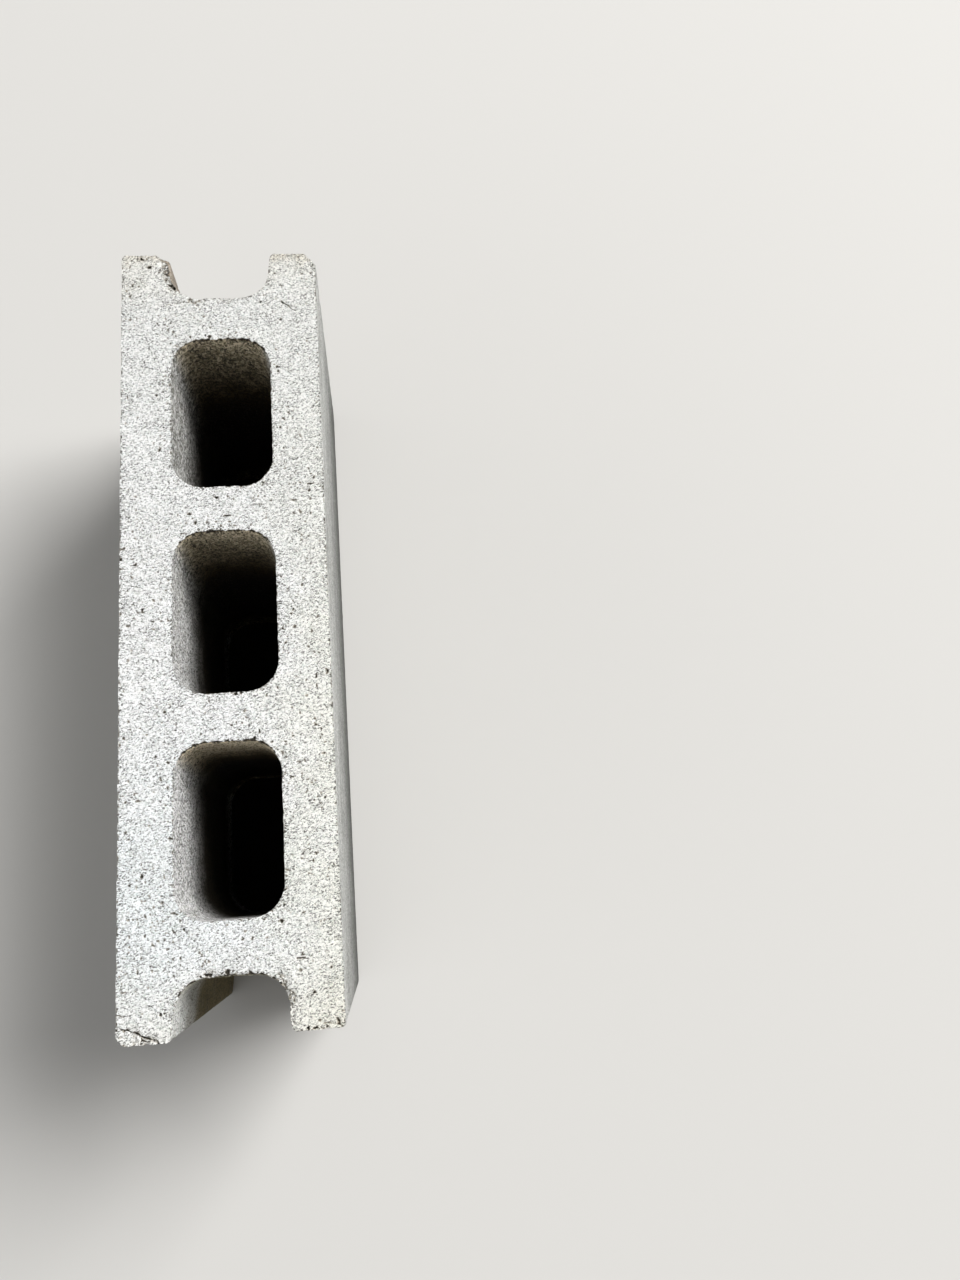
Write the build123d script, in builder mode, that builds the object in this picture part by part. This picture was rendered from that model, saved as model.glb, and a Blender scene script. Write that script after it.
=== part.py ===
from build123d import *

import os
from math import isclose, radians, tan

# A hollow concrete building block, 390 x 100 x 190 mm, with three cores and a grouting groove in
# each end. It is pressed in one piece and stands on its bed face with the cores upright, as it is
# laid in a wall. +X runs along the block, +Y across its thickness and +Z up, and the origin is the
# middle of the bottom bed face. All lengths are millimetres.

# The outside: one unit of a 400 x 200 mm module, with 10 mm mortar joints.
block_length = 390.0
block_thickness = 100.0
block_height = 190.0
outer_corner_radius = 1.5

# The walls as they show on the top bed, where the cores are narrowest.
core_count = 3
face_shell = 25.2
web = 24.0
end_web = 24.75
core_corner_radius = 15.5

# The groove in each end, which makes one more core with the next block's groove.
groove_depth = 25.5
groove_mouth = 52.6
groove_flare_angle = 6.0
groove_corner_radius = 15.0
groove_lip_radius = 2.0

# The cores and grooves widen downwards, so that the mould strips off the fresh concrete.
draft_angle = 0.5

# How far the groove's cutting profile runs out past the end face.
groove_overrun = 12.0

# What the walls leave for the cores.
core_width = block_thickness - 2 * face_shell
cored_length = block_length - 2 * (groove_depth + end_web)
core_length = (cored_length - (core_count - 1) * web) / core_count
core_pitch = core_length + web

# The groove's profile on the top bed, from its floor out past the end face.
half_length = block_length / 2
groove_flare = tan(radians(groove_flare_angle))
floor_x = half_length - groove_depth
floor_y = groove_mouth / 2 - groove_depth * groove_flare
overrun_x = half_length + groove_overrun
overrun_y = groove_mouth / 2 + groove_overrun * groove_flare

top_bed = Plane.XY.offset(block_height)

with BuildPart() as block:
    # The moulded body, with its upright arrises.
    with BuildSketch():
        RectangleRounded(block_length, block_thickness, outer_corner_radius)
    extrude(amount=block_height)

    # The row of cores, cut from the top bed down and widening by the draft.
    with BuildSketch(top_bed):
        with GridLocations(core_pitch, 0, core_count, 1):
            RectangleRounded(core_length, core_width, core_corner_radius)
    extrude(amount=-block_height, taper=-draft_angle, mode=Mode.SUBTRACT)

    # The groove in each end, with the same draft, a flat floor and round inner corners.
    with BuildSketch(top_bed) as grooves:
        with BuildLine():
            Polyline(
                (floor_x, -floor_y),
                (overrun_x, -overrun_y),
                (overrun_x, overrun_y),
                (floor_x, floor_y),
                close=True,
            )
        make_face()
        fillet(grooves.vertices().group_by(Axis.X)[0], groove_corner_radius)
        mirror(about=Plane.YZ)
    extrude(amount=-block_height, taper=-draft_angle, mode=Mode.SUBTRACT)

    # The grooves' lips on the end faces, eased over their whole height.
    groove_edges = block.edges(Select.LAST)
    end_edges = groove_edges.filter_by(lambda edge: isclose(abs(edge.center().X), half_length))
    fillet(end_edges.filter_by(Axis.Y, reverse=True), groove_lip_radius)

block.part.label = "concrete_block"

os.makedirs("parts", exist_ok=True)
export_step(block.part, "parts/concrete_block.step")
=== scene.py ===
import random
from math import cos, hypot, pi, radians, sin, tan

import bmesh
import bpy
import numpy as np
from mathutils import Matrix, Vector, geometry, kdtree, noise


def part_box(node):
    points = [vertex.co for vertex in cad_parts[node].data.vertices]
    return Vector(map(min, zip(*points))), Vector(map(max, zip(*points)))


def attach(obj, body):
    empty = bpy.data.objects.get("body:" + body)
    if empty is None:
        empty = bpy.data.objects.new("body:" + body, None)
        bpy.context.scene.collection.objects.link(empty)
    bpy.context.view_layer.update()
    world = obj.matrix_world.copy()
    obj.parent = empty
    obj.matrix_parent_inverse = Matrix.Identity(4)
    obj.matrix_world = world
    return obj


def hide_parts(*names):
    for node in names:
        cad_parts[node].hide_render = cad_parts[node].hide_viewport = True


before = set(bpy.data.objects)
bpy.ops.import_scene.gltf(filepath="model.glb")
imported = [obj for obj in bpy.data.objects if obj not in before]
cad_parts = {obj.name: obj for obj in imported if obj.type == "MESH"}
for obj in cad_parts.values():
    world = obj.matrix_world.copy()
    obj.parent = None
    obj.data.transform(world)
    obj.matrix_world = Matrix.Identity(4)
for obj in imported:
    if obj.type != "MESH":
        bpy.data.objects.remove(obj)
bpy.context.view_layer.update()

# The block's sizes, in millimetres. The outside is the frame's own.
MM = 0.001
block_low, block_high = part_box("concrete_block")
LENGTH, THICKNESS, HEIGHT = ((high - low) / MM for low, high in zip(block_low, block_high))
END, SIDE = LENGTH / 2, THICKNESS / 2
ARRIS_ROUND = 1.5
CORE_COUNT = 3
FACE_SHELL = 25.2
WEB = 24.0
END_WEB = 24.75
CORE_ROUND = 15.5
GROOVE_DEPTH = 25.5
GROOVE_MOUTH = 52.6
GROOVE_FLARE = tan(radians(6.0))
GROOVE_ROUND = 15.0
LIP_ROUND = 2.0
DRAFT = HEIGHT * tan(radians(0.5))

CORE_WIDTH = THICKNESS - 2 * FACE_SHELL
CORE_LENGTH = (LENGTH - 2 * (GROOVE_DEPTH + END_WEB) - (CORE_COUNT - 1) * WEB) / CORE_COUNT
CORE_PITCH = CORE_LENGTH + WEB

# How finely the mesh is laid out, in millimetres.
RIM_STEP = 0.85
TOP_STEP = 0.77
BOTTOM_STEP = 2.1
WALL_STEP = 4.2
CRACK_STEP = 0.45
ARRIS_STEP = 1.6
SHARP_ROUND = 5.0
WELD = 0.01

# How much further apart each row up a wall is than the one before.
ROW_GROWTH = 1.3

# How far places stray from even rows, as shares of the step.
BED_STRAY = 0.33
WALL_STRAY = 0.3
ROW_STRAY = 0.25

# How near a bed's places come to the rim, in millimetres and as a share of the step.
RIM_CLEARANCE = 0.3
NET_CLEARANCE = 0.6

# The rings of places round a pit, as shares of its radius.
RING_COUNT = 8
BED_RINGS = (0.5, 1.0)
WALL_RINGS = (0.45, 0.8, 1.15)

# Edges sharper than this are shaded as edges, in degrees.
SHARP_ANGLE = 48.0

random.seed(41)


# The worn places of the edges and the top bed, in millimetres

# Each crack runs through these (x, y) places, and has a width and a depth.
CORNER_CRACK = (
    (-187.3, 47.7), (-188.4, 44.1), (-189.7, 41.0), (-191.3, 38.4),
    (-192.1, 36.7), (-193.2, 33.8), (-193.2, 32.1), (-195.2, 31.0),
)
CRACKS = (
    (CORNER_CRACK, 0.7, 1.7),
    (CORNER_CRACK[3:6], 1.1, 2.0),
    (((-191.4, 38.7), (-192.8, 38.9), (-195.2, 39.5)), 0.5, 0.7),
    (((-192.9, 38.7), (-193.7, 36.0), (-193.5, 33.0)), 0.6, 0.9),
    (((-181.1, 50.2), (-181.7, 48.7), (-182.7, 46.1)), 0.6, 0.7),
    (((-192.0, -39.3), (-192.1, -42.7), (-193.2, -46.1), (-194.0, -48.5)), 0.6, 0.7),
    (((167.7, -31.1), (165.3, -33.6), (162.2, -36.6), (160.3, -40.3), (159.7, -43.2)), 0.5, 0.5),
    (((166.9, -31.8), (164.4, -34.5)), 0.75, 0.9),
)

# Single open pits as (x, y, radius, depth).
PITS = (
    (193.1, 40.0, 0.69, 1.5), (187.8, 35.9, 0.53, 1.1), (184.5, 31.0, 0.58, 0.9),
    (177.3, 25.0, 0.74, 1.9), (175.6, 23.4, 0.69, 1.9), (180.4, 27.6, 0.53, 1.0),
    (167.0, 18.6, 0.48, 1.0), (166.3, -20.7, 0.58, 1.2), (156.0, -31.0, 0.48, 0.9),
    (128.8, -28.3, 0.53, 1.1), (126.6, -28.9, 0.45, 0.9), (97.0, 28.7, 0.53, 1.2),
    (84.0, -30.5, 0.45, 0.9), (58.6, 3.4, 0.48, 1.0), (-40.9, -4.6, 0.54, 1.3),
    (-40.8, -7.1, 0.48, 1.1), (-62.6, -12.5, 0.54, 1.3), (-59.8, -15.0, 0.48, 1.0),
    (-62.9, -0.5, 0.48, 1.1), (-57.1, 23.5, 0.53, 1.1), (-58.5, -6.0, 0.48, 0.9),
    (-140.1, -24.2, 0.58, 1.1), (-147.0, -22.7, 0.58, 1.2), (-179.0, -36.3, 0.64, 1.1),
    (-182.5, 30.6, 0.58, 1.2), (-193.7, -32.9, 0.54, 1.3), (-193.9, -36.6, 0.54, 1.3),
    (-194.0, -41.4, 0.48, 1.1), (-191.8, -46.9, 0.48, 0.9), (-168.3, 13.3, 0.65, 1.4),
    (-167.9, 11.0, 0.58, 1.4), (-167.8, 8.7, 0.68, 1.5), (-167.7, 4.3, 0.54, 1.3),
    (-167.5, 1.2, 0.75, 1.5), (-168.4, -8.6, 0.54, 1.2), (-168.5, -11.8, 0.48, 1.1),
    (-171.6, -19.1, 0.61, 1.5), (-173.8, -21.7, 0.68, 1.6), (-176.7, -23.7, 0.61, 1.5),
    (-180.4, -25.4, 0.61, 1.4), (147.8, 7.7, 0.61, 1.2), (147.2, 5.6, 0.48, 1.0),
    (142.0, 18.0, 0.48, 1.0), (150.3, 23.7, 0.45, 0.9), (147.7, 22.6, 0.45, 0.8),
    (143.7, 25.3, 0.45, 0.8), (140.1, 25.1, 0.45, 0.8), (136.4, 25.5, 0.45, 0.8),
)

# Where the edge has gone to crumbs, as (x, y, z, reach, depth).
CRUMBLED = (
    (-195.0, 38.0, 190.0, 8.0, 0.6), (-194.0, -41.0, 190.0, 7.0, 0.2),
    (193.0, 27.5, 190.0, 6.5, 1.3), (188.0, 26.0, 190.0, 6.5, 1.4),
    (182.5, 25.5, 190.0, 6.0, 1.1), (192.0, 38.0, 190.0, 8.0, 0.6),
    (176.0, 23.0, 189.0, 6.0, 0.9), (191.0, -46.0, 188.0, 7.0, 0.5),
    (145.8, -2.9, 190.0, 6.0, 0.7), (146.0, 20.5, 190.0, 6.5, 0.6),
    (138.0, 25.0, 190.0, 6.5, 0.5), (168.6, 12.5, 190.0, 6.0, 1.2),
    (169.2, -3.0, 190.0, 6.0, 0.7), (-169.0, 10.5, 190.0, 7.5, 0.7),
    (-168.6, 0.5, 190.0, 6.0, 0.6), (-173.4, 20.2, 190.0, 4.5, 0.7),
    (-184.2, 25.7, 190.0, 4.0, 0.5), (-174.0, -20.0, 190.0, 7.0, 1.8),
    (-180.5, -24.5, 190.0, 6.0, 1.5), (-160.0, -50.0, 190.0, 7.0, 0.6),
    (-195.0, 44.0, 2.0, 12.0, 1.0), (195.0, -45.0, 2.0, 10.0, 0.9),
)

# Upright corners worn round, as (side in x, side in y, radius, reach down).
ROUNDED = ((-1, 1, 5.5, 16.0), (-1, -1, 2.6, 10.0), (1, 1, 2.8, 8.0))


# The outlines of the block and its cores

def block_corners(widening):
    """The block's plan as (x, y, radius) corners, anticlockwise, its grooves widened."""
    mouth = GROOVE_MOUTH / 2 + widening * hypot(1, GROOVE_FLARE)
    floor_x = END - GROOVE_DEPTH - widening
    floor_y = mouth - (END - floor_x) * GROOVE_FLARE
    floor_round = GROOVE_ROUND + widening
    right_end = [
        (END, -SIDE, ARRIS_ROUND),
        (END, -mouth, LIP_ROUND),
        (floor_x, -floor_y, floor_round),
        (floor_x, floor_y, floor_round),
        (END, mouth, LIP_ROUND),
        (END, SIDE, ARRIS_ROUND),
    ]
    return right_end + [(-x, -y, radius) for x, y, radius in right_end]


def core_corners(middle, widening):
    """A core's plan as (x, y, radius) corners, clockwise, so that the concrete is on the left."""
    along, across = CORE_LENGTH / 2 + widening, CORE_WIDTH / 2 + widening
    turns = ((1, 1), (1, -1), (-1, -1), (-1, 1))
    return [(middle + along * i, across * j, CORE_ROUND + widening) for i, j in turns]


def trace(corners, counts=None):
    """Points round a closed outline, and how many each of its rounds and straights has."""
    places = [Vector(corner[:2]) for corner in corners]
    arcs = []
    for i, place in enumerate(places):
        back = (places[i - 1] - place).normalized()
        ahead = (places[(i + 1) % len(places)] - place).normalized()
        half = back.angle(ahead) / 2
        radius = corners[i][2]
        centre = place + (back + ahead).normalized() * radius / sin(half)
        start = place + back * radius / tan(half) - centre
        turn = (pi - 2 * half) * (1 if back.cross(ahead) < 0 else -1)
        arcs.append((centre, start, turn))
    runs = []
    for i, (centre, start, turn) in enumerate(arcs):
        after, onward, _ = arcs[(i + 1) % len(arcs)]
        leaving = centre + Matrix.Rotation(turn, 2) @ start
        runs.append((leaving, after + onward))
    if counts is None:
        counts = []
        for (_, start, turn), (leaving, arriving) in zip(arcs, runs):
            counts.append(round(start.length * abs(turn) / RIM_STEP))
            counts.append(round((arriving - leaving).length / RIM_STEP))
    points = []
    parts = zip(arcs, runs, counts[0::2], counts[1::2])
    for (centre, start, turn), (leaving, arriving), rounds, straights in parts:
        points += [centre + Matrix.Rotation(turn * k / rounds, 2) @ start for k in range(rounds)]
        points += [leaving.lerp(arriving, k / straights) for k in range(straights)]
    return np.array(points), counts


# The mesh of the block: two beds, and a wall round the outside and in each core

class Shell:
    """Gathers triangles of several surfaces, with their zones and their places on the bake map."""

    def __init__(self):
        self.points, self.faces, self.zones = [], [], []
        self.map, self.pits = [], []

    def add(self, points, faces, zone, places):
        offset = sum(len(block) for block in self.points)
        self.points.append(points)
        self.faces.append(faces + offset)
        self.zones.append(np.broadcast_to(zone, len(faces)))
        self.map.append(places)

    def mesh(self, name):
        mesh = bpy.data.meshes.new(name)
        faces = np.vstack(self.faces)
        mesh.from_pydata((np.vstack(self.points) * MM).tolist(), [], faces.tolist())
        mesh.polygons.foreach_set("material_index", np.concatenate(self.zones).astype(np.int32))
        layer = mesh.uv_layers.new(name="OFBake")
        layer.uv.foreach_set("vector", np.vstack(self.map).astype(np.float32).ravel())
        work = bmesh.new()
        work.from_mesh(mesh)
        bmesh.ops.remove_doubles(work, verts=work.verts, dist=WELD * MM)
        bmesh.ops.recalc_face_normals(work, faces=work.faces)
        work.to_mesh(mesh)
        work.free()
        mesh.shade_smooth()
        return mesh


# The zones of the surface, in the order of their finishes.
BED, FACE, CORE, GROOVE = range(4)

# The small pits in the faces, in millimetres: how many, how large, and how far apart.
FACE_PITS = 230
PIT_SMALLEST, PIT_GROWTH, PIT_RARITY = 0.5, 0.75, 2.5
PIT_SPACING, PIT_CLEARANCE = 5.0, 2.2
PIT_END_MARGIN, PIT_BED_MARGIN = 8.0, 6.0

# What lies further in than this from the ends and faces belongs to a groove.
GROOVE_IN_END = 0.6
GROOVE_IN_FACE = 12.0

# The bake map: a square of this side in millimetres, with each patch at its own scale.
MAP_SIDE = 740.0
MAP_GAP = 4.0
TOP_SCALE = 1.7
CORE_SCALE = 0.95
BOTTOM_SCALE = 0.95


def triangles(points, edges=()):
    """Delaunay triangles over flat points that keep the given edges."""
    flat = [Vector(point) for point in points]
    whole, tolerance = 0, 1e-7
    made = geometry.delaunay_2d_cdt(flat, list(edges), [], whole, tolerance, False)
    return np.array([tuple(point) for point in made[0]]), np.array(made[2])


def search_tree(places, height=0.0):
    """Finds the nearest of some places at one height."""
    tree = kdtree.KDTree(max(1, len(places)))
    for k, place in enumerate(places):
        tree.insert((*place[:2], height), k)
    tree.balance()
    return tree


def row_heights():
    """Heights up a wall, closer together near the two beds."""
    heights, step = [0.0], RIM_STEP
    while heights[-1] + step < HEIGHT / 2:
        heights.append(heights[-1] + step)
        step = min(step * ROW_GROWTH, WALL_STEP)
    return heights + [HEIGHT - h for h in reversed(heights)]


def wall_rounds(along, counts, corners):
    """The rounds of a wall, as the radius of each and the places along the wall that it passes."""
    ends = np.cumsum([0, *counts])
    rounds = zip(corners, ends[0::2], ends[1::2])
    return [(corner[2], along[start : end + 1]) for corner, start, end in rounds]


def columns(rounds, total, step):
    """Places along a wall that every row keeps: the ends of its rounds, and enough between them."""
    kept = []
    for radius, places in rounds:
        stride = 1 if radius < SHARP_ROUND else round(step / RIM_STEP)
        kept += [*places[:-1:stride], places[-1]]
    return [*kept, total]


def sharp_columns(rounds, total):
    """Places along a wall on its sharp arrises, which need rows of their own."""
    kept = [u for radius, places in rounds if radius < SHARP_ROUND for u in places]
    return [u for u in kept if 0 < u < total]


def rings(place, radius, shares):
    """A place with rings of places round it, for a pit there."""
    x, y = place[:2]
    places = [(x, y)]
    for share in shares:
        for k in range(RING_COUNT):
            turn = 2 * pi * k / RING_COUNT
            places.append((x + radius * share * cos(turn), y + radius * share * sin(turn)))
    return places


def scatter_pits(total, count):
    """Small pits on an unrolled wall, as (place along it, height, radius)."""
    pits = []
    while len(pits) < count:
        u = random.uniform(PIT_END_MARGIN, total - PIT_END_MARGIN)
        z = random.uniform(PIT_BED_MARGIN, HEIGHT - PIT_BED_MARGIN)
        if all(hypot(u - other[0], z - other[1]) > PIT_SPACING for other in pits):
            pits.append((u, z, PIT_SMALLEST + PIT_GROWTH * random.random() ** PIT_RARITY))
    return pits


def wall(shell, top_corners, bottom_corners, zone, place_on_map, pit_count):
    """A drafted wall, triangulated on its unrolled strip. Gives its outlines on the two beds."""
    top, counts = trace(top_corners)
    bottom, _ = trace(bottom_corners, counts)
    ends = np.vstack([top, top[:1]]), np.vstack([bottom, bottom[:1]])
    along = np.concatenate([[0], np.cumsum(np.linalg.norm(np.diff(ends[0], axis=0), axis=1))])
    total = along[-1]
    rounds = wall_rounds(along, counts, top_corners)

    def place_in_block(places):
        drop = (1 - places[:, 1] / HEIGHT)[:, None]
        plan = [
            np.column_stack([np.interp(places[:, 0], along, end[:, k]) for k in (0, 1)])
            for end in ends
        ]
        return np.column_stack([plan[0] * (1 - drop) + plan[1] * drop, places[:, 1]])

    pits = scatter_pits(total, pit_count)
    near_pits = search_tree(pits)
    sharp = sharp_columns(rounds, total)
    heights = row_heights()
    strip = [(u, z) for z in (0.0, HEIGHT) for u in along]
    for pit in pits:
        strip += rings(pit, pit[2], WALL_RINGS)
    for below, height, above in zip(heights, heights[1:], heights[2:]):
        step = (above - below) / 2
        kept = columns(rounds, total, step)
        strip += [(u, height) for u in kept]
        for u, after in zip(kept, kept[1:]):
            count = round((after - u) / step)
            for k in range(1, count):
                place = (
                    u + (k + random.uniform(-WALL_STRAY, WALL_STRAY)) * (after - u) / count,
                    height + random.uniform(-ROW_STRAY, ROW_STRAY) * step,
                )
                if not pits or near_pits.find((*place, 0))[2] > PIT_CLEARANCE:
                    strip.append(place)
        between = round((above - height) / ARRIS_STEP)
        for k in range(1, between):
            z = height + k * (above - height) / between
            strip += [(u, z) for u in sharp]
    flat, faces = triangles(strip)
    points = place_in_block(flat)
    if zone == FACE:
        middles = np.abs(points[faces].mean(axis=1)[:, :2])
        in_groove = (middles < (END - GROOVE_IN_END, SIDE - GROOVE_IN_FACE)).all(axis=1)
        zone = np.where(in_groove, GROOVE, FACE)
    shell.add(points, faces, zone, place_on_map(flat[faces], total))
    for u, z, radius in pits:
        place, ahead = place_in_block(np.array([(u, z), (u + 0.5, z)]))
        outward = Vector((ahead[1] - place[1], place[0] - ahead[0], 0)).normalized()
        shell.pits.append((tuple(place), tuple(outward), radius))
    return top, bottom


def crack_net():
    """Places close together along the cracks and round the pits."""
    net = []
    for places, width, _ in CRACKS:
        for start, end in zip(places, places[1:]):
            start, end = Vector(start), Vector(end)
            across = (end - start).normalized().orthogonal() * width / 2
            count = round((end - start).length / CRACK_STEP)
            for k in range(count):
                middle = start.lerp(end, (k + 0.5) / count)
                net += [tuple(middle + across * side) for side in (-1.0, 0.0, 1.0)]
    for x, y, radius, _ in PITS:
        net += rings((x, y), radius, BED_RINGS)
    return net


def bed(shell, outlines, height, step, place_on_map, close_net=()):
    """A flat bed between the outlines, in an uneven net of the given step."""
    rim = np.vstack(outlines)
    nearest_rim = search_tree(rim)
    edges, outward, offset = [], [], 0
    for outline in outlines:
        count = len(outline)
        edges += [(offset + k, offset + (k + 1) % count) for k in range(count)]
        tangent = np.roll(outline, -1, axis=0) - np.roll(outline, 1, axis=0)
        outward.append(np.column_stack([tangent[:, 1], -tangent[:, 0]]))
        offset += count
    outward = np.vstack(outward)

    def depth(place):
        """How far inside the nearest rim a place lies, below 0 outside it."""
        _, k, distance = nearest_rim.find((*place, 0))
        x, y = place[0] - rim[k][0], place[1] - rim[k][1]
        inside = x * outward[k][0] + y * outward[k][1] < 0
        return distance if inside else -distance

    taken = search_tree(close_net)
    net = [tuple(place) for place in rim]
    net += [place for place in close_net if depth(place) > RIM_CLEARANCE]
    for i in range(int(LENGTH / step)):
        for j in range(int(THICKNESS / step)):
            x = (i + 0.5 + random.uniform(-BED_STRAY, BED_STRAY)) * step - END
            y = (j + 0.5 + random.uniform(-BED_STRAY, BED_STRAY)) * step - SIDE
            crowded = close_net and taken.find((x, y, 0))[2] < NET_CLEARANCE * step
            if not crowded and depth((x, y)) > NET_CLEARANCE * min(step, RIM_STEP * ROW_GROWTH):
                net.append((x, y))
    flat, faces = triangles(net, edges)
    faces = faces[[depth(middle) > 0 for middle in flat[faces].mean(axis=1)]]
    points = np.column_stack([flat, np.full(len(flat), height)])
    shell.add(points, faces, BED, place_on_map(flat[faces]))


def on_map(u, v):
    """Loop places on the bake map's unit square from places in its millimetres."""
    return np.column_stack([u.ravel(), v.ravel()]) / MAP_SIDE


def block_mesh():
    shell = Shell()
    walls_v = THICKNESS * TOP_SCALE + 2 * MAP_GAP
    cores_v = walls_v + 2 * (HEIGHT + MAP_GAP)

    def unrolled(places, total):
        middle = places[..., 0].mean(axis=1) > total / 2
        u = places[..., 0] - np.where(middle, total / 2, 0)[:, None]
        v = places[..., 1] + np.where(middle, HEIGHT + MAP_GAP, 0)[:, None]
        return on_map(u + MAP_GAP, v + walls_v)

    corners = block_corners(0), block_corners(DRAFT)
    outlines = [wall(shell, *corners, FACE, unrolled, FACE_PITS)]
    for index in range(CORE_COUNT):

        def unrolled_core(places, total, index=index):
            u = MAP_GAP + index * (total * CORE_SCALE + MAP_GAP) + places[..., 0] * CORE_SCALE
            return on_map(u, cores_v + places[..., 1] * CORE_SCALE)

        middle = (index - (CORE_COUNT - 1) / 2) * CORE_PITCH
        corners = core_corners(middle, 0), core_corners(middle, DRAFT)
        outlines.append(wall(shell, *corners, CORE, unrolled_core, 0))
    tops, bottoms = zip(*outlines)

    def top_patch(places):
        u = MAP_GAP + (places[..., 0] + END) * TOP_SCALE
        return on_map(u, MAP_GAP + (places[..., 1] + SIDE) * TOP_SCALE)

    def bottom_patch(places):
        u = MAP_SIDE - MAP_GAP - (places[..., 1] + SIDE) * BOTTOM_SCALE
        return on_map(u, walls_v + (places[..., 0] + END) * BOTTOM_SCALE)

    bed(shell, tops, HEIGHT, TOP_STEP, top_patch, crack_net())
    bed(shell, bottoms, 0.0, BOTTOM_STEP, bottom_patch)
    beds = ((HEIGHT, tops), (0.0, bottoms))
    return shell.mesh("concrete_block_body"), beds, shell.pits


# The relief of pressed concrete: grain, open pores, crumbled rims and broken corners

# How far apart the noise of one seed lies from the next, along each axis.
FIELD_SHIFT = (17.3, 5.1, 9.7)
CRUMB_SHIFT = (11.9, 7.7, 3.1)

# The strength and the detail of each octave beside the one before.
OCTAVE_SHARE = 0.7
OCTAVE_DETAIL = 2.1

# The gap between two loose grains, from open to closed, and how different their heights are.
CRUMB_GAP = (0.03, 0.32)
CRUMB_SPREAD = 3.7


def field(points, size, seed, octaves=1):
    """Smooth noise from about -1 to 1 at each point, with features of the given size."""
    shift = Vector([seed * reach for reach in FIELD_SHIFT])
    places = [Vector(point) / size + shift for point in points]
    if octaves == 1:
        return np.array([noise.noise(place) for place in places])
    detail = (OCTAVE_SHARE, OCTAVE_DETAIL, octaves)
    return np.array([noise.fractal(place, *detail) for place in places])


def crumbs(points, size, seed):
    """Loose grains: how open the gap between them is, and how low each lies."""
    shift = Vector([seed * reach for reach in CRUMB_SHIFT])
    gaps, falls = [], []
    for point in points:
        distances, centres = noise.voronoi(Vector(point) / size + shift)
        gaps.append(distances[1] - distances[0])
        falls.append(noise.noise(centres[0] * CRUMB_SPREAD))
    return 1 - ramp(np.array(gaps), *CRUMB_GAP), np.array(falls)


def ramp(values, low, high):
    """0 below low, 1 above high and a smooth rise between."""
    share = np.clip((values - low) / (high - low), 0, 1)
    return share * share * (3 - 2 * share)


def rim_distances(points, beds):
    """How far each point lies from the nearest rim of the two beds."""
    found = np.minimum(points[:, 2], HEIGHT - points[:, 2])
    for height, outlines in beds:
        rim = search_tree(np.vstack(outlines), height)
        for k in np.flatnonzero(np.abs(points[:, 2] - height) < BED_TOLERANCE):
            found[k] = rim.find(points[k])[2]
    return found


def within(points, place, reach):
    """Which points lie within reach of a place."""
    away = points - place
    return np.flatnonzero((away * away).sum(axis=1) < reach * reach)


# Broken corners as (x, y, z, direction x, y, z, depth, reach): what lies beyond is gone.
BROKEN = (
    (END, -SIDE, HEIGHT, 0.68, -0.72, 0.34, 4.4, 20.0),
    (END, 26.3, HEIGHT, 0.62, -0.6, 0.55, 3.7, 15.0),
    (END, -26.3, HEIGHT, 0.8, 0.5, 0.5, 1.1, 8.0),
    (-END, 26.3, HEIGHT, -0.82, -0.45, 0.5, 0.9, 12.0),
    (END, SIDE, 0.0, 0.8, 0.7, -0.5, 2.6, 14.0),
    (END, -SIDE, 0.0, 0.6, -0.8, -0.6, 1.6, 14.0),
    (-END, -SIDE, 0.0, -0.7, -0.8, -0.6, 2.2, 14.0),
    (-END, SIDE, 0.0, -0.8, 0.9, -0.5, 1.8, 14.0),
)

# Grains that have come off the rims of each bed, in millimetres, and how far up their holes face.
# A share of them lies where the mould dragged, and those are larger.
BITES = 1000
BITE_UP = (0.3, 1.4)
BITE_RADIUS = (0.55, 1.25)
BITE_DEPTH, BITE_GROWTH, BITE_RARITY = 0.25, 0.6, 1.5
TORN_SHARE = 0.28
TORN_RADIUS = 0.45
TORN_DEPTH = (0.2, 0.7)

# Pores on both beds, in millimetres, and how far aside their holes lean.
PORES = 150
PORE_DEPTH = (0.25, 0.6)
PORE_RADIUS = (0.5, 0.9)
PORE_LEAN = 0.4

# How far from its height a point of a bed lies, before the relief and after it.
BED_TOLERANCE = 0.001
NEAR_BED = 1.5

# How far from the rims their grains are loose, and how far aside of its places a crack wanders.
LOOSE_REACH = 1.5
CRACK_ASIDE = 2.0

# How deep a hole is, in millimetres, when its painted shade is full.
DARK_DEPTH = 0.75

# The pits in the faces: how deep beside their radius, how uneven, and how dark their painted shade
# is.
PIT_DEPTH = (0.45, 0.9)
PIT_UNEVEN = 0.4
PIT_DARK = 0.62


def break_corner(points, hollow, place, direction, depth, reach):
    """Cuts off what lies beyond a rough plane that faces direction, depth under the place."""
    near = within(points, place, reach)
    facing = np.array(Vector(direction).normalized())
    rough = field(points[near], 3.4, seed=3) * 0.5 + field(points[near], 1.4, seed=4) * 0.25
    beyond = (points[near] - place) @ facing + depth + rough * min(1.0, depth / 2)
    points[near] -= np.clip(beyond, 0, None)[:, None] * facing
    open_grain = 0.22 + 0.33 * field(points[near], 1.6, seed=19)
    hollow[near] = np.maximum(hollow[near], np.where(beyond > 0.3, open_grain, 0))


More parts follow.
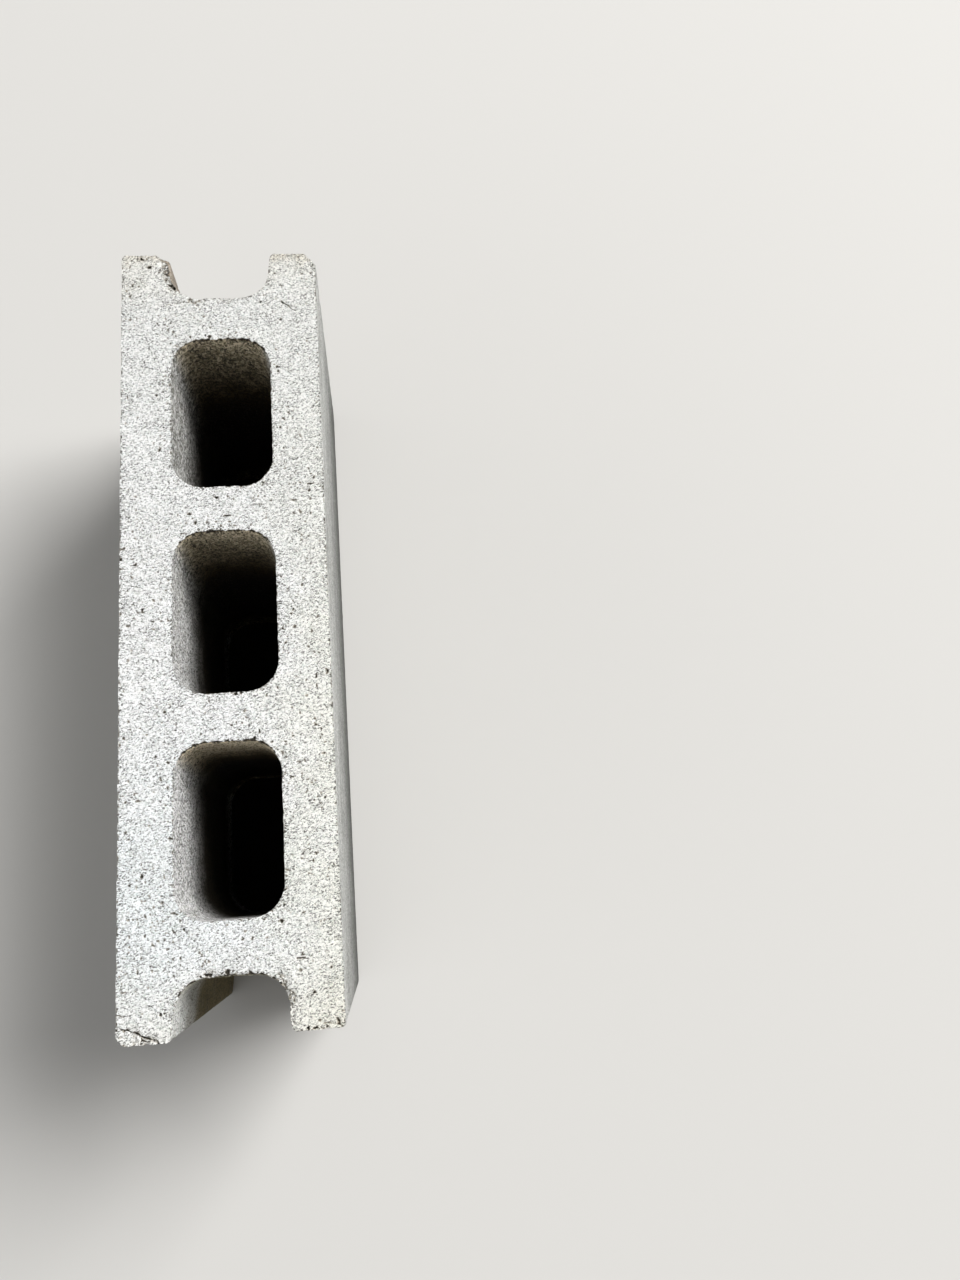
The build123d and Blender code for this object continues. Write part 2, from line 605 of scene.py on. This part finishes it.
def round_corner(points, side_x, side_y, radius, reach):
    """Wears an upright corner round, most at the bed and less below it."""
    corner = np.array((side_x * END, side_y * SIDE))
    near = within(points, (*corner, HEIGHT), 1.6 * reach)
    share = 1 - ramp(HEIGHT - points[near, 2], 0, reach)
    rough = 1 + 0.35 * field(points[near], 4.5, seed=18)
    here = (ARRIS_ROUND + (radius - ARRIS_ROUND) * share * rough)[:, None]
    centre = corner - np.sign(corner) * here
    away = points[near, :2] - centre
    length = np.linalg.norm(away, axis=1)[:, None]
    beyond = (away * np.sign(corner) > 0).all(axis=1)[:, None] & (length > here)
    pulled = np.where(beyond, centre + away * here / np.maximum(length, 1e-6), points[near, :2])
    drop = 0.8 * np.linalg.norm(pulled - points[near, :2], axis=1)
    points[near, :2] = pulled
    points[near, 2] -= np.where(points[near, 2] > HEIGHT - NEAR_BED, drop, 0)


def scoop(points, hollow, place, direction, depth, radius, uneven=0.12, dark=1.0):
    """Presses a rough ball into the surface, from the direction it faces, and marks painted shade
    in the hole.
    """
    facing = np.array(Vector(direction).normalized())
    near = within(points, place, (2 * radius * depth) ** 0.5 + depth)
    away = points[near] - (place + facing * (radius - depth))
    along = away @ facing
    aside = (away * away).sum(axis=1) - along * along
    ball = radius * (1 + uneven * field(points[near], 1.3, seed=12))
    floor = -np.sqrt(np.clip(ball * ball - aside, 0, None))
    reached = (aside < ball * ball) & (along < max(0.0, depth - radius))
    fall = np.where(reached, np.clip(along - floor, 0, depth), 0)
    points[near] -= fall[:, None] * facing
    hollow[near] = np.maximum(hollow[near], dark * np.clip(fall / DARK_DEPTH, 0, 1))


def bite_rims(points, hollow, beds):
    """Takes single grains off the rims, more of them where the mould's wall faces the -X end."""
    for height, outlines in beds:
        rim = np.vstack(outlines)
        ahead = np.vstack([np.roll(outline, -1, axis=0) for outline in outlines]) - rim
        dragged = np.flatnonzero((ahead[:, 1] < -0.6 * RIM_STEP) & (np.abs(rim[:, 0]) < END - 5))
        for _ in range(BITES):
            torn = random.random() < TORN_SHARE
            k = random.choice(dragged) if torn else random.randrange(len(rim))
            outward = Vector((ahead[k][1], -ahead[k][0])).normalized()
            up = (1 if height else -1) * random.uniform(*BITE_UP)
            radius = random.uniform(*BITE_RADIUS) + TORN_RADIUS * torn
            depth = BITE_DEPTH + BITE_GROWTH * random.random() ** BITE_RARITY
            depth += torn * random.uniform(*TORN_DEPTH)
            scoop(points, hollow, (*rim[k], height), (*outward, up), depth, radius)


def pit_beds(points, hollow, bed_points):
    """Opens the top bed's single pits, and small pores on both beds."""
    for x, y, radius, depth in PITS:
        scoop(points, hollow, (x, y, HEIGHT), (0, 0, 1), depth, radius)
    for _ in range(PORES):
        x, y, z = points[random.choice(bed_points)]
        up = 1 if z > HEIGHT / 2 else -1
        lean = [random.uniform(-PORE_LEAN, PORE_LEAN) for _ in range(2)]
        depth, radius = random.uniform(*PORE_DEPTH), random.uniform(*PORE_RADIUS)
        scoop(points, hollow, (x, y, z), (*lean, up), depth, radius)


def crack_bed(points, hollow):
    """Opens each crack in the top bed, narrower and shallower towards its ends."""
    for places, width, depth in CRACKS:
        line = np.array(places)
        low, high = line.min(axis=0) - CRACK_ASIDE, line.max(axis=0) + CRACK_ASIDE
        beside = ((points[:, :2] > low) & (points[:, :2] < high)).all(axis=1)
        near = np.flatnonzero((points[:, 2] > HEIGHT - NEAR_BED) & beside)
        wander = np.column_stack([field(points[near], 1.8, seed) for seed in (14, 15)])
        flat = points[near, :2] + 0.35 * wander
        closest = np.full(len(near), np.inf)
        for start, end in zip(line, line[1:]):
            run = end - start
            share = np.clip((flat - start) @ run / (run @ run), 0, 1)
            away = np.linalg.norm(flat - start - share[:, None] * run, axis=1)
            closest = np.minimum(closest, away)
        opening = 0.75 + 1.1 * field(points[near], 2.6, seed=16)
        share = (1 - ramp(closest, 0.15 * width, 0.62 * width)) * np.clip(opening, 0.3, 1)
        points[near, 2] -= depth * share
        hollow[near] = np.maximum(hollow[near], share * min(1.0, depth))


# Turns places so that marks run across the block at a slant, four times as long as wide.
SLANT_X, SLANT_Y, STRETCH = 0.42, 0.91, 4.0
SLANTED = np.array(
    [(SLANT_X / STRETCH, SLANT_Y, 0), (-SLANT_Y / STRETCH, SLANT_X, 0), (0, 0, 1)]
)

# How deep each kind of relief is, in millimetres: on a bed, on a wall and on its sharp arrises.
BED_SKIN, BED_GRAIN, BED_LUMPS, BED_WAVES = 0.13, 0.13, 0.09, 0.07
BED_MARKS, BED_PORES = 0.10, 0.6
WALL_SKIN, WALL_GRAIN, WALL_LUMPS, WALL_WAVES = 0.06, 0.03, 0.05, 0.08
ARRIS_SKIN, ARRIS_NICKS = 0.12, 0.9
ARRIS_REACH = (0.5, 3.2)


def skin(points, on_bed):
    """How deep the pressed surface lies under the mould's at each point, and how hollow it is."""
    ahead, aside = np.abs(points[:, 0]) - END, np.abs(points[:, 1])
    arris = np.hypot(ahead, aside - SIDE)
    mouth = GROOVE_MOUTH / 2 + DRAFT * (1 - points[:, 2] / HEIGHT)
    lip = np.hypot(ahead, aside - mouth)
    sharp = 1 - ramp(np.minimum(arris, lip), *ARRIS_REACH)

    grain = field(points, 1.3, seed=1)
    lumps = field(points, 3.6, seed=2, octaves=3)
    waves = field(points, 45.0, seed=5)
    marks = field(points @ SLANTED, 1.3, seed=11)
    open_places = ramp(field(points, 13.0, seed=7), -0.5, 0.5)
    pores = ramp(field(points, 1.7, seed=6), 0.34, 0.58) * open_places
    nicks = ramp(field(points, 3.0, seed=20) + 0.5 * field(points, 17.0, seed=21), 0.12, 0.75)

    bed_depth = BED_SKIN + BED_GRAIN * grain + BED_LUMPS * lumps + BED_WAVES * waves
    bed_depth = bed_depth + BED_MARKS * marks + BED_PORES * pores
    wall_depth = WALL_SKIN + WALL_GRAIN * grain + WALL_LUMPS * lumps + WALL_WAVES * waves
    wall_depth += sharp * (ARRIS_SKIN + ARRIS_NICKS * nicks)
    depth = np.clip(bed_depth * on_bed + wall_depth * (1 - on_bed), 0, None)
    return depth, 0.75 * pores * (0.4 + 0.6 * on_bed)


def loosen_rims(points, depth, hollow, rim):
    """Deepens the gaps between the loose grains that lie along the rims."""
    close = np.flatnonzero(rim < LOOSE_REACH)
    gap, fall = crumbs(points[close], 1.5, seed=1)
    loose = ramp(field(points[close], 6.0, seed=8), -0.4, 0.4)
    near_rim = 1 - ramp(rim[close], 0.1, 1.4)
    depth[close] += near_rim * loose * (0.35 * gap + 0.3 * np.clip(fall + 0.2, 0, 1))
    hollow[close] = np.maximum(hollow[close], near_rim * loose * gap * 0.45)


def crumble(points, normals, hollow, rim, place, reach, cut):
    """Takes coarse grains off the edge round a place."""
    near = within(points, place, reach)
    away = np.linalg.norm(points[near] - place, axis=1) + 2.0 * field(points[near], 4.0, seed=17)
    share = (1 - ramp(away, 0.55 * reach, reach)) * (1 - ramp(rim[near], 3.0, 6.0))
    gap, fall = crumbs(points[near], 2.2, seed=2)
    depth = share * cut * (0.55 * gap + 0.6 * np.clip(fall + 0.3, 0, 1))
    points[near] -= normals[near] * depth[:, None]
    hollow[near] = np.maximum(hollow[near], share * min(1.0, cut) * (0.10 + 0.32 * gap))


# How far from a rim the reading of it still changes, in millimetres.
RIM_READING = 10.0


def relief(mesh, beds, wall_pits):
    """Moves the mesh's points inwards to their worn places, and keeps how hollow each one is."""
    count = len(mesh.vertices)
    points = np.empty(count * 3)
    mesh.vertices.foreach_get("co", points)
    points = points.reshape(-1, 3) / MM
    normals = np.empty(count * 3, np.float32)
    mesh.vertex_normals.foreach_get("vector", normals)
    normals = normals.reshape(-1, 3)
    rim = rim_distances(points, beds)
    on_bed = np.clip((np.abs(normals[:, 2]) - 0.5) * 2.5, 0, 1)

    depth, hollow = skin(points, on_bed)
    loosen_rims(points, depth, hollow, rim)
    points = points - normals * depth[:, None]
    for x, y, z, a, b, c, cut, reach in BROKEN:
        break_corner(points, hollow, (x, y, z), (a, b, c), cut, reach)
    for side_x, side_y, radius, reach in ROUNDED:
        round_corner(points, side_x, side_y, radius, reach)
    for x, y, z, reach, cut in CRUMBLED:
        crumble(points, normals, hollow, rim, (x, y, z), reach, cut)
    crack_bed(points, hollow)
    bite_rims(points, hollow, beds)
    pit_beds(points, hollow, np.flatnonzero((on_bed > 0.9) & (rim > LOOSE_REACH)))
    for place, outward, radius in wall_pits:
        depth = radius * random.uniform(*PIT_DEPTH)
        ball = (radius * radius + depth * depth) / (2 * depth)
        scoop(points, hollow, place, outward, depth, ball, PIT_UNEVEN, PIT_DARK)

    points = np.clip(points, np.array(block_low) / MM, np.array(block_high) / MM)
    mesh.vertices.foreach_set("co", (points * MM).astype(np.float32).ravel())
    # The first reading marks walls that face the -X end, away from the lamp, for painted shade; the
    # hollow reading places painted shade and a torn tint in holes, cracks and broken places.
    readings = {"away_shade": -normals[:, 0], "hollow": hollow, "rim": rim / RIM_READING}
    for name, values in readings.items():
        layer = mesh.attributes.new(name, "FLOAT", "POINT")
        layer.data.foreach_set("value", np.clip(values, 0, 1).astype(np.float32))
    mesh.update()
    mesh.set_sharp_from_angle(angle=radians(SHARP_ANGLE))


# Shader maths

class Value:
    """A socket that takes part in Python sums, each of which adds a Math node."""

    def __init__(self, tree, socket):
        self.tree, self.socket = tree, socket

    def math(self, operation, *inputs):
        return self.tree.add("ShaderNodeMath", {"operation": operation}, dict(enumerate(inputs)))

    def __add__(self, other):
        return self.math("ADD", self, other)

    def __radd__(self, other):
        return self.math("ADD", other, self)

    def __sub__(self, other):
        return self.math("SUBTRACT", self, other)

    def __rsub__(self, other):
        return self.math("SUBTRACT", other, self)

    def __mul__(self, other):
        return self.math("MULTIPLY", self, other)

    def __rmul__(self, other):
        return self.math("MULTIPLY", other, self)

    def __pow__(self, other):
        return self.math("POWER", self, other)

    def larger(self, other):
        return self.math("MAXIMUM", self, other)

    def smaller(self, other):
        return self.math("MINIMUM", self, other)

    def size(self):
        """Its distance from 0."""
        return self.math("ABSOLUTE", self)

    def part(self, name):
        """One part of a colour."""
        return self.tree.add("ShaderNodeSeparateColor", None, {"Color": self}, name)

    def beside(self, name):
        """Another output of the same node."""
        return Value(self.tree, self.socket.node.outputs[name])

    def ramp(self, low, high):
        """0 at low, 1 at high and a smooth rise between."""
        settings = {"interpolation_type": "SMOOTHSTEP"}
        inputs = {"Value": self, "From Min": low, "From Max": high}
        return self.tree.add("ShaderNodeMapRange", settings, inputs)


class Tree:
    """A material's or world's nodes."""

    def __init__(self, owner):
        owner.use_nodes = True
        self.nodes, self.links = owner.node_tree.nodes, owner.node_tree.links
        self.nodes.clear()

    def add(self, kind, settings=None, inputs=None, output=0):
        """Makes a node, sets its settings and then its sockets, and returns one of its outputs."""
        node = self.nodes.new(kind)
        for name, setting in (settings or {}).items():
            setattr(node, name, setting)
        for name, given in (inputs or {}).items():
            socket = node.inputs[name]
            if isinstance(given, Value):
                self.links.new(given.socket, socket)
            else:
                socket.default_value = given
        return Value(self, node.outputs[output]) if len(node.outputs) else node

    def noise(self, place, size, detail=2.0, rough=0.5):
        """Noise from about 0 to 1 with features of the given size in millimetres."""
        inputs = {"Vector": place, "Scale": 1 / (size * MM), "Detail": detail, "Roughness": rough}
        return self.add("ShaderNodeTexNoise", None, inputs, "Fac")

    def cells(self, place, size, feature, output):
        """Voronoi cells of the given size in millimetres."""
        inputs = {"Vector": place, "Scale": 1 / (size * MM)}
        return self.add("ShaderNodeTexVoronoi", {"feature": feature}, inputs, output)

    def blend(self, share, first, second, way="MIX"):
        """Two colours mixed by a share of the second."""
        settings = {"data_type": "RGBA", "blend_type": way}
        return self.add("ShaderNodeMix", settings, {0: share, 6: first, 7: second}, 2)

    def tinted(self, colour, *tints):
        """A colour multiplied by one (share, shade) tint after another."""
        for share, shade in tints:
            colour = self.blend(share, colour, shade, "MULTIPLY")
        return colour

    def vector(self, operation, *inputs, output=0):
        """A sum of places, each of which has three parts."""
        settings = {"operation": operation}
        return self.add("ShaderNodeVectorMath", settings, dict(enumerate(inputs)), output)

    def distance(self, first, second):
        """How far apart two places are, in metres."""
        return self.vector("DISTANCE", first, second, output="Value")

    def along(self, axis, place):
        """How far a place lies along an axis."""
        return self.add("ShaderNodeSeparateXYZ", None, {"Vector": place}, axis)

    def stretched(self, place, turn, scale):
        """Places turned about Z and scaled, so that a pattern is drawn out."""
        inputs = {"Vector": place, "Rotation": (0.0, 0.0, radians(turn)), "Scale": scale}
        return self.add("ShaderNodeMapping", {"vector_type": "TEXTURE"}, inputs)

    def warped(self, place, size, reach):
        """Places shifted unevenly by up to about reach millimetres, in waves of a size."""
        inputs = {"Vector": place, "Scale": 1 / (size * MM), "Detail": 1.0}
        wave = self.add("ShaderNodeTexNoise", None, inputs, "Color")
        shifted = self.vector("MULTIPLY_ADD", wave, (2 * reach * MM,) * 3, place)
        return self.vector("ADD", shifted, (-reach * MM,) * 3)

    def reading(self, name):
        """A value that the mesh holds at each point."""
        return self.add("ShaderNodeAttribute", {"attribute_name": name}, None, "Fac")


def grey(*values):
    """A colour from its 0 to 255 screen values, as linear light."""
    return (*[((value / 255 + 0.055) / 1.055) ** 2.4 for value in values], 1.0)


# The tints of the beds, the last of which the cores have too.
CREAM = grey(251, 250, 242)
PINK = grey(251, 249, 244)
BEIGE = grey(251, 247, 241)
COOL = grey(251, 254, 255)
DULL = grey(244, 244, 242)

# Where the cool patch lies, in metres.
COOL_PLACE = (-0.135, 0.045, HEIGHT * MM)


def bed_tints(tree, place, colour):
    """Cream towards the front edge, a pink touch at the ends and a cool patch by one corner."""
    x = tree.along("X", place)
    y = x.beside("Y")
    drift = (tree.noise(place, 38.0, 3.0) - 0.5) * 0.08
    cream = (y + drift).ramp(0.0, -0.058) * (x + drift).ramp(0.30, -0.16)
    pink = (x.size() + drift).ramp(0.155, 0.205)
    dull = (x + drift).ramp(-0.10, 0.22)
    beige = (x + (tree.noise(place, 5.0, 2.0) - 0.5) * 0.02).ramp(0.187, 0.196)
    cool = (tree.distance(place, COOL_PLACE) + drift).ramp(0.10, 0.0)
    tints = (cream, CREAM), (pink, PINK), (dull, DULL), (beige, BEIGE), (cool, COOL)
    return tree.tinted(colour, *tints)


# The worn colour of the faces, the painted shade of their foot, and how much of that shade the back
# face keeps.
WORN = grey(146, 146, 141)
FOOT_SHADE = grey(118, 119, 117)
BACK_FOOT_SHADE = 0.45


def face_bands(tree, place, colour):
    """Layers, clouds, upright lines and painted shade towards the foot, darkest on the front face.
    """
    bent = tree.warped(place, 26.0, 5.0)
    layers = tree.noise(tree.stretched(bent, 0.0, (9.0, 9.0, 1.0)), 7.0, 3.0, 0.55)
    clouds = tree.noise(place, 34.0, 4.0, 0.6)
    drags = tree.noise(tree.stretched(place, 0.0, (1.0, 1.0, 6.0)), 1.3, 2.0, 0.6)
    worn = layers.ramp(0.40, 0.66) * 0.26 + clouds.ramp(0.42, 0.64) * 0.24
    colour = tree.blend(worn + drags.ramp(0.44, 0.62) * 0.30, colour, WORN)
    z = tree.along("Z", place)
    # Painted shade towards the foot, darker on the front face than at the back.
    foot = (z + (tree.noise(place, 30.0, 3.0) - 0.5) * 0.05).ramp(0.190, -0.010)
    front = z.beside("Y").ramp(0.045, -0.045)
    return tree.tinted(colour, (foot * (BACK_FOOT_SHADE + front * (1 - BACK_FOOT_SHADE)), FOOT_SHADE))


# The tints of the cores: dull and coarse at the +X end, painted light on the walls that face the
# lamp, and painted shade on the walls that face the -X end and further down the core.
LIT = grey(248, 250, 255)
COARSE = grey(182, 181, 177)
AWAY_SHADE = grey(232, 220, 195)
DEEP_AWAY_SHADE = grey(110, 99, 76)
DEEP_CORE_SHADE = grey(84, 76, 60)


def core_depths(tree, place, colour):
    """Painted light on the walls that face the lamp, painted brown shade on those that face the -X
    end, darker down the core, and coarser at the +X end.
    """
    z = tree.along("Z", place)
    drift = tree.noise(place, 14.0, 2.0) - 0.5
    inside = (z * 3.0).smaller(HEIGHT * MM - z) + drift * 0.03
    # Walls that face the -X end look away from the lamp and get painted brown shade; the others get
    # a painted light tint.
    away_shade = tree.reading("away_shade").ramp(0.25, 0.85)
    dull = (z.beside("X") + drift * 0.06).ramp(-0.09, 0.10)
    coarse = tree.noise(place, 2.0, 1.0, 0.6).ramp(0.42, 0.58)
    return tree.tinted(
        colour,
        (dull, DULL),
        (dull * coarse, COARSE),
        (1 - away_shade, LIT),
        (away_shade, AWAY_SHADE),
        (away_shade * inside.ramp(-0.004, 0.070), DEEP_AWAY_SHADE),
        (inside.ramp(0.035, 0.095), DEEP_CORE_SHADE),
    )


# The tints of the grooves, from the top bed down, mostly painted shade.
GROOVE_AWAY_SHADE = grey(178, 174, 152)
GROOVE_SHADE = grey(232, 233, 234)
GROOVE_BEIGE = grey(192, 180, 168)
GROOVE_BROWN_SHADE = grey(146, 133, 100)


def groove_painted_shade(tree, place, colour):
    """Painted brown shade towards the foot, more of it in the -X groove, painted shade below the
    top bed and on walls that face the -X end, and beige near the top of the +X one.
    """
    z = tree.along("Z", place)
    uneven = tree.noise(place, 24.0, 4.0, 0.65)
    inside = HEIGHT * MM - z + (uneven - 0.5) * 0.06
    far_end = z.beside("X").ramp(-0.01, 0.01)
    beige = far_end * (1 - inside.ramp(0.03, 0.12) * 0.65)
    # Painted brown shade down the groove's walls.
    brown = inside.ramp(0.015, 0.085) * (0.8 + uneven * 0.4) * (1 - far_end * 0.6)
    return tree.tinted(
        colour,
        (tree.reading("away_shade") ** 2.0, GROOVE_AWAY_SHADE),
        (inside.ramp(0.0, 0.03), GROOVE_SHADE),
        (beige, GROOVE_BEIGE),
        (brown, GROOVE_BROWN_SHADE),
    )


# Painted shade at the bottom of an open hole or crack, and the tint of concrete whose skin has
# broken off, which also stands as painted shade in shallow hollows.
HOLE_SHADE = grey(42, 38, 32)
TORN_AND_HOLLOW_SHADE = grey(190, 183, 172)

# How deep the bump of the grain and pits is, in millimetres, and how the grain is turned.
BUMP_DEPTH = 0.5
GRAIN_TURN = -76.0


def concrete(name, finish, coarse, drawn_out, pale, paste, pit, openness, slits, bump, mottle=1.0):
    """Pressed concrete: pale grains in a darker paste, with slits and open pits between them, and
    painted shade in the mesh's hollows.
    """
    material = bpy.data.materials.new(name)
    tree = Tree(material)
    place = tree.add("ShaderNodeTexCoord", None, None, "Object")
    hollow = tree.reading("hollow")
    near_rim = 1 - tree.reading("rim").ramp(0.02, 0.35)

    clusters = tree.noise(place, 8.0, 1.0) - 0.5
    patches = tree.noise(place, 28.0, 2.0, 0.55) - 0.5
    drawn = tree.stretched(place, GRAIN_TURN, drawn_out)
    loose = tree.warped(drawn, 1.1 * coarse, 0.9 * coarse)
    fine = tree.noise(drawn, 0.42 * coarse, 1.0)
    grains = tree.noise(drawn, 0.95 * coarse, 2.0, 0.7)
    border = tree.cells(loose, 1.25 * coarse, "DISTANCE_TO_EDGE", "Distance")
    grain_colour = tree.cells(loose, 1.25 * coarse, "F1", "Color")
    parted = (tree.noise(drawn, 1.5 * coarse, 1.0) + clusters * 0.10).ramp(0.44, 0.58)
    gaps = tree.noise(tree.stretched(drawn, 0.0, (1.4, 1.05, 1.2)), 0.72 * coarse, 1.0, 0.55)

    body = grains * 0.62 + fine * 0.28 + grain_colour.part("Green") * 0.10 + patches * 0.06
    slit = border.ramp(0.10, 0.015) * parted
    pits = (gaps + clusters * 0.13 + near_rim * 0.05).ramp(1 - openness, 1.045 - openness)
    hole = (hollow + (grains - 0.5) * 1.1).ramp(0.34, 0.60)
    colour = tree.blend(body.ramp(0.46, 0.66) * mottle, pale, paste)
    colour = tree.blend(0.09, colour, grain_colour, "SOFT_LIGHT")
    colour = finish(tree, place, colour)
    # Painted shade in the hollows of the relief: a torn tint at first, then near black in the
    # deepest holes.
    colour = tree.tinted(colour, (hollow.ramp(0.12, 0.42), TORN_AND_HOLLOW_SHADE))
    colour = tree.blend((slit * slits).larger(pits * 0.9), colour, pit)
    colour = tree.blend(hole * 0.94, colour, HOLE_SHADE)

    height = fine * 0.9 - slit * 0.8 - pits * 1.2
    inputs = {"Strength": bump, "Distance": BUMP_DEPTH * MM, "Height": height}
    normal = tree.add("ShaderNodeBump", None, inputs)
    inputs = {"Base Color": colour, "Roughness": 0.92 + pits * 0.06, "Normal": normal}
    inputs["Specular IOR Level"] = 0.25
    shader = tree.add("ShaderNodeBsdfPrincipled", None, inputs)
    tree.add("ShaderNodeOutputMaterial", None, {"Surface": shader})
    return material


def finishes():
    """The block's finishes, in the order of its zones."""
    return (
        concrete(
            "bed_concrete", bed_tints, coarse=0.80, drawn_out=(1.35, 0.95, 1.1),
            pale=grey(252, 252, 251), paste=grey(198, 198, 197), pit=grey(66, 62, 55),
            openness=0.378, slits=0.85, bump=0.65,
        ),
        concrete(
            "face_concrete", face_bands, coarse=1.15, drawn_out=(1.4, 1.2, 0.95),
            pale=grey(238, 238, 234), paste=grey(160, 160, 156), pit=grey(80, 78, 72),
            openness=0.35, slits=0.65, bump=0.8,
        ),
        concrete(
            "core_concrete", core_depths, coarse=1.25, drawn_out=(1.0, 1.0, 1.7),
            pale=grey(252, 249, 243), paste=grey(126, 123, 115), pit=grey(62, 58, 51),
            openness=0.405, slits=0.85, bump=0.9,
        ),
        concrete(
            "groove_concrete", groove_painted_shade, coarse=1.0, drawn_out=(1.0, 1.0, 2.0),
            pale=grey(240, 240, 237), paste=grey(160, 158, 151), pit=grey(58, 54, 46),
            openness=0.36, slits=0.65, bump=0.6, mottle=0.95,
        ),
    )


def make_object(name, data):
    """Shows a mesh, a camera or a lamp in the scene."""
    made = bpy.data.objects.new(name, data)
    bpy.context.collection.objects.link(made)
    return made


def make_block():
    """The one piece of the part, worn and finished."""
    mesh, beds, wall_pits = block_mesh()
    relief(mesh, beds, wall_pits)
    for finish in finishes():
        mesh.materials.append(finish)
    block = make_object("concrete_block_body", mesh)
    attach(block, "root")
    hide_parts("concrete_block")


# The studio

# The photograph's camera, in metres, and its focal length as a share of the picture's height.
CAMERA_PLACE = Vector((-0.1313, -0.0725, 0.6643))
CAMERA_AHEAD = Vector((0.22481, -0.10265, -0.96898))
CAMERA_UP = Vector((0.97162, -0.05143, 0.23087))
SENSOR = 36.0
FOCAL_SHARE = 995.17 / 1280


def make_camera():
    data = bpy.data.cameras.new("camera")
    data.sensor_width = SENSOR
    data.lens = SENSOR * FOCAL_SHARE
    camera = make_object("camera", data)
    right = CAMERA_AHEAD.cross(CAMERA_UP).normalized()
    up = right.cross(CAMERA_AHEAD).normalized()
    turn = Matrix((right, up, -CAMERA_AHEAD.normalized())).transposed()
    camera.matrix_world = Matrix.Translation(CAMERA_PLACE) @ turn.to_4x4()
    bpy.context.scene.camera = camera


def seen_directly(tree):
    """1 for the camera and for mirrored or refracted rays, 0 for light that bounces."""
    camera = tree.add("ShaderNodeLightPath", None, None, "Is Camera Ray")
    mirrored = camera.larger(camera.beside("Is Glossy Ray"))
    return mirrored.larger(camera.beside("Is Transmission Ray"))


# The floor's reach, how far it lies under the block, and where it fades out, in metres.
FLOOR_REACH = 6.0
FLOOR_DROP = 0.0002
FADE = (0.8, 2.4)

# Painted shade on the floor under the block, where no light reaches, in metres from the middle.
SHADE_PATCH_X = (0.168, 0.166)
SHADE_PATCH_Y = (0.042, 0.040)

BACKGROUND = grey(226, 225, 222)
FLOOR_SEEN = grey(212, 210, 206)
FLOOR_LIT = grey(92, 89, 84)
FLOOR_SHADE_PATCH = grey(44, 42, 38)
BLACK = (0.0, 0.0, 0.0, 1.0)


def make_floor():
    mesh = bpy.data.meshes.new("studio_floor")
    turns = ((-1, -1), (1, -1), (1, 1), (-1, 1))
    corners = [(x * FLOOR_REACH, y * FLOOR_REACH, 0) for x, y in turns]
    mesh.from_pydata(corners, [], [(0, 1, 2, 3)])
    floor = make_object("studio_floor", mesh)
    floor.location.z = -FLOOR_DROP
    material = bpy.data.materials.new("floor_paint")
    tree = Tree(material)
    place = tree.add("ShaderNodeTexCoord", None, None, "Object")
    x = tree.along("X", place)
    y = x.beside("Y")
    # Painted shade on the floor under the block.
    shade_patch = x.size().ramp(*SHADE_PATCH_X) * y.size().ramp(*SHADE_PATCH_Y)
    seen = seen_directly(tree)
    far = tree.distance(place, (0.0, 0.0, 0.0)).ramp(*FADE)
    colour = tree.blend(seen, FLOOR_LIT, FLOOR_SEEN)
    colour = tree.blend(shade_patch, colour, FLOOR_SHADE_PATCH)
    colour = tree.blend(far, colour, BLACK)
    glow = tree.blend(far * seen, BLACK, BACKGROUND)
    inputs = {"Base Color": colour, "Roughness": 1.0, "Specular IOR Level": 0.0}
    inputs |= {"Emission Color": glow, "Emission Strength": 1.0}
    shader = tree.add("ShaderNodeBsdfPrincipled", None, inputs)
    tree.add("ShaderNodeOutputMaterial", None, {"Surface": shader})
    mesh.materials.append(material)


# The world's light: at the horizon, how much more of it from behind, and overhead.
LOW_SKY = 0.85
BACK_SKY = 2.2
HIGH_SKY = 0.06
SKY_COLOUR = (0.98, 0.99, 1.0, 1.0)
BEHIND_X, BEHIND_Y = -0.6, 0.8


def make_world():
    world = bpy.data.worlds.new("studio")
    bpy.context.scene.world = world
    tree = Tree(world)
    up = tree.along("Z", tree.add("ShaderNodeTexCoord"))
    behind = (up.beside("Y") * BEHIND_Y + up.beside("X") * BEHIND_X).larger(0.0)
    strength = (1 - up.larger(0.0)) ** 2.0 * (LOW_SKY + behind * BACK_SKY) + HIGH_SKY
    light = tree.add("ShaderNodeBackground", None, {"Color": SKY_COLOUR, "Strength": strength})
    view = tree.add("ShaderNodeBackground", None, {"Color": BACKGROUND, "Strength": 1.0})
    mixed = tree.add("ShaderNodeMixShader", None, {0: seen_directly(tree), 1: light, 2: view})
    tree.add("ShaderNodeOutputWorld", None, {"Surface": mixed})


# A wide soft window in front of the block and to its right, in metres and watts.
WINDOW_PLACE = Vector((3.3, -5.15, 6.33))
WINDOW_POWER = 1035.0
WINDOW_SIZE = 5.0


def make_window():
    data = bpy.data.lights.new("window_lamp", "AREA")
    data.energy, data.size = WINDOW_POWER, WINDOW_SIZE
    lamp = make_object("window_lamp", data)
    lamp.location = WINDOW_PLACE
    lamp.rotation_mode = "QUATERNION"
    lamp.rotation_quaternion = (-WINDOW_PLACE).to_track_quat("-Z", "Y")


make_camera()
make_world()
make_floor()
make_window()
make_block()

bpy.context.scene.view_settings.view_transform = "Standard"
